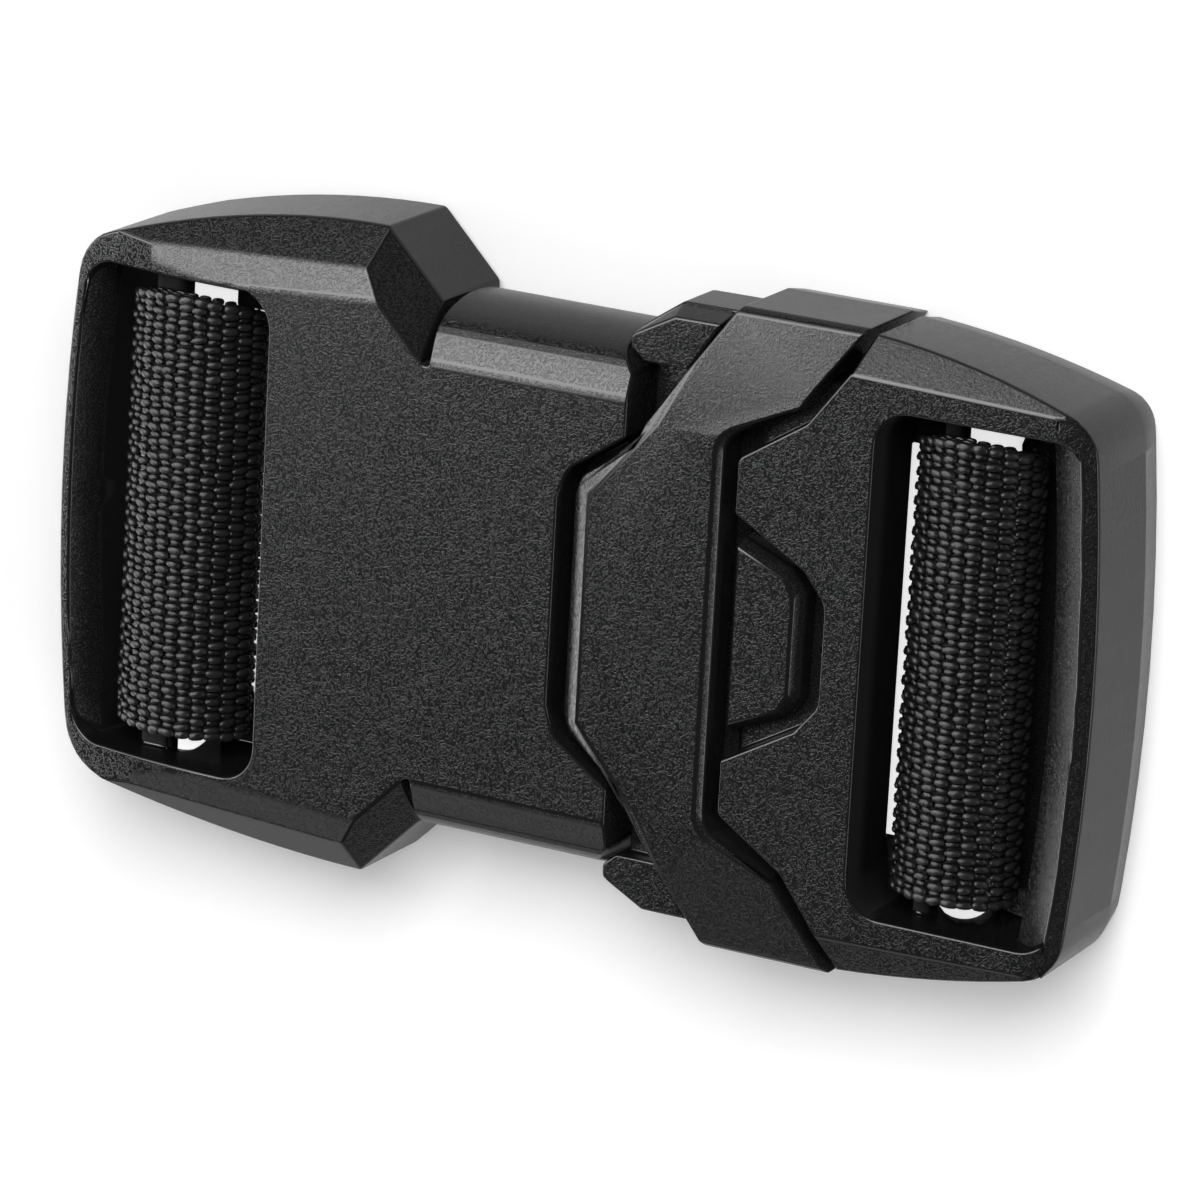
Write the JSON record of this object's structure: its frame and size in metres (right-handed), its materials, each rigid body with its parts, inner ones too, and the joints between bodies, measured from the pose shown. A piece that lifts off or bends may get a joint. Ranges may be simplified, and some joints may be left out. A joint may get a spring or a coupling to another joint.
{
  "type": "magnetic buckle",
  "caption": "Fastened release buckle for wide webbing: moulded frames joined under a stepped collar, with side wings, a thumb tab and woven webbing rolled in the end slots.",
  "frame": {"origin": "middle of the length and width, at the plane of the buckle's back", "axes": "+X along the buckle from the left frame to the right frame, +Y across the webbing, +Z out of the front face"},
  "size_m": [0.0968, 0.0556, 0.0142],
  "materials": {
    "black_plastic": "fine leather grain, low sheen",
    "black_webbing": "plain weave of round yarns with a slight gloss"
  },
  "bodies": {
    "root": {"left_frame": "black_plastic", "left_webbing": "black_webbing", "collar": "black_plastic", "release_slider": "black_plastic", "thumb_tab": "black_plastic", "right_frame": "black_plastic", "right_webbing": "black_webbing"}
  },
  "joints": []
}
